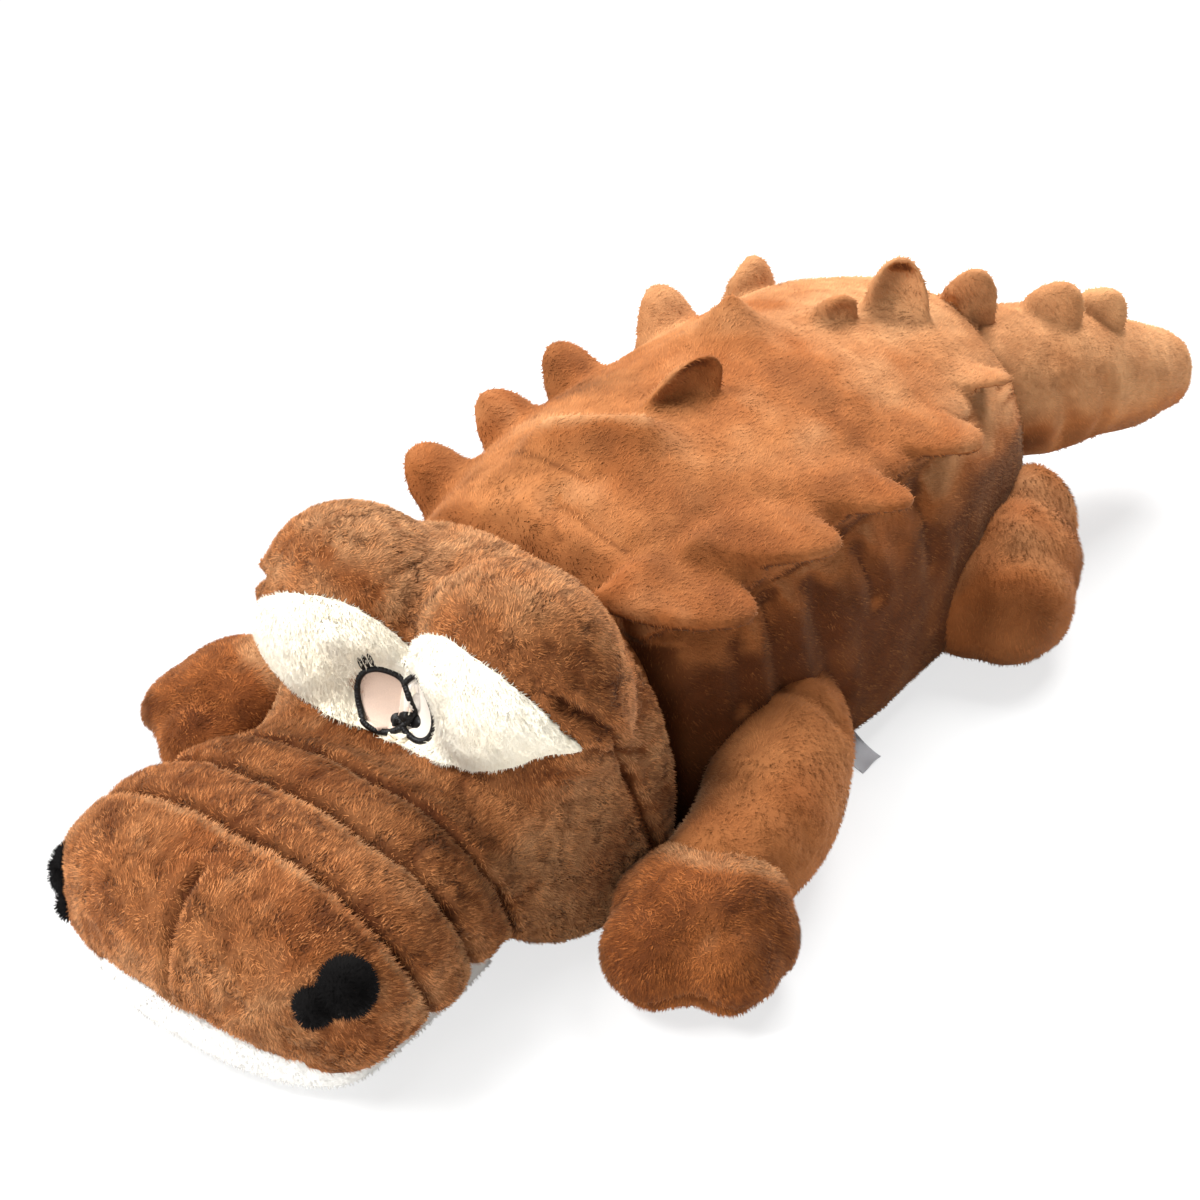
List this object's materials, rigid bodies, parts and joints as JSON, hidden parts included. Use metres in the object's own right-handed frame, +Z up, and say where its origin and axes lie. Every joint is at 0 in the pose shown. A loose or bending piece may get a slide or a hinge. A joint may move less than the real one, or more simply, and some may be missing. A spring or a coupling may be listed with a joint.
{
  "type": "plush crocodile",
  "caption": "Stuffed plush crocodile lying on its belly, with a rounded snout, hooded eyes, soft back scutes, four limbs and a thick tail.",
  "frame": {"origin": "on the belly's flat resting strip, on the mid-plane of the body, behind the arms", "axes": "+Y from the snout to the tail, +Z up, +X towards the animal's left side"},
  "size_m": [0.5451, 1.0879, 0.2794],
  "materials": {
    "back_plush": "short cinnamon plush, matte",
    "flank_plush": "short darker cinnamon plush, matte",
    "head_plush": "curly cinnamon plush, matte",
    "paw_plush": "clumped cinnamon plush, matte",
    "cream_fleece": "cream fleece, matte",
    "white_plush": "white short plush, matte",
    "black_plush": "black plush, matte",
    "black_thread": "black embroidery thread, satin",
    "beige_thread": "beige embroidery thread, satin",
    "polyester_filling": "loose polyester fibre",
    "satin_label": "bare satin ribbon"
  },
  "bodies": {
    "body": {"back_panel": "back_plush", "flank_panel_left": "flank_plush", "flank_panel_right": "flank_plush", "belly_panel": "cream_fleece", "torso_filling": "polyester_filling", "scute_left_1": "back_plush", "scute_left_2": "back_plush", "scute_left_3": "back_plush", "scute_left_4": "back_plush", "scute_left_5": "back_plush", "scute_right_1": "back_plush", "scute_right_2": "back_plush", "scute_right_3": "back_plush", "scute_right_4": "back_plush", "scute_right_5": "back_plush", "scute_mid_1": "back_plush", "scute_mid_2": "back_plush", "scute_mid_3": "back_plush", "scute_mid_4": "back_plush", "scute_mid_5": "back_plush", "scute_rump": "back_plush"},
    "neck": {"neck": "flank_plush"},
    "head": {"head_panel": "head_plush", "jaw_panel": "white_plush", "head_filling": "polyester_filling", "brow_left": "head_plush", "brow_right": "head_plush", "eye_patch_left": "cream_fleece", "eye_patch_right": "cream_fleece", "eye_outline_left": "black_thread", "eye_outline_right": "black_thread", "iris_left": "beige_thread", "iris_right": "beige_thread", "pupil_left": "black_thread", "pupil_right": "black_thread", "nostril_left": "black_plush", "nostril_right": "black_plush"},
    "arm_left": {"front_leg_left": "back_plush", "front_paw_left": "paw_plush"},
    "arm_right": {"front_leg_right": "back_plush", "front_paw_right": "paw_plush"},
    "foot_left": {"hind_foot_left": "back_plush"},
    "foot_right": {"hind_foot_right": "back_plush"},
    "tail": {"tail_top_panel": "back_plush", "tail_under_panel": "cream_fleece", "tail_filling": "polyester_filling", "tail_scute_1": "back_plush", "tail_scute_2": "back_plush"},
    "label": {"care_label": "satin_label"}
  },
  "joints": [
    {"name": "neck_turn", "type": "hinge", "parent": "body", "child": "neck", "pos_m": [0, -0.166, 0.108], "axis": [0, 0, 1], "range_deg": [-10, 10], "stiffness_Nm_per_rad": 2},
    {"name": "head_nod", "type": "hinge", "parent": "neck", "child": "head", "pos_m": [0, -0.166, 0.108], "axis": [-1, 0, 0], "range_deg": [0, 8], "stiffness_Nm_per_rad": 2},
    {"name": "arm_left_swing", "type": "hinge", "parent": "body", "child": "arm_left", "pos_m": [0.13175, -0.0538, 0.05403], "axis": [0, 0, 1], "range_deg": [0, 25], "stiffness_Nm_per_rad": 0.5},
    {"name": "arm_right_swing", "type": "hinge", "parent": "body", "child": "arm_right", "pos_m": [-0.13175, -0.0538, 0.05403], "axis": [0, 0, -1], "range_deg": [0, 25], "stiffness_Nm_per_rad": 0.5},
    {"name": "foot_left_swing", "type": "hinge", "parent": "body", "child": "foot_left", "pos_m": [0.1085, 0.22176, 0.06001], "axis": [0, 0, 1], "range_deg": [-10, 10], "stiffness_Nm_per_rad": 0.5},
    {"name": "foot_right_swing", "type": "hinge", "parent": "body", "child": "foot_right", "pos_m": [-0.1085, 0.22176, 0.06001], "axis": [0, 0, -1], "range_deg": [-10, 10], "stiffness_Nm_per_rad": 0.5},
    {"name": "tail_swing", "type": "hinge", "parent": "body", "child": "tail", "pos_m": [0.05301, 0.33014, 0.14591], "axis": [0, 0, 1], "range_deg": [-12, 12], "stiffness_Nm_per_rad": 1},
    {"name": "label_flap", "type": "hinge", "parent": "body", "child": "label", "pos_m": [0.14187, 0.01181, 0.01984], "axis": [0, -1, 0], "range_deg": [0, 40]}
  ]
}
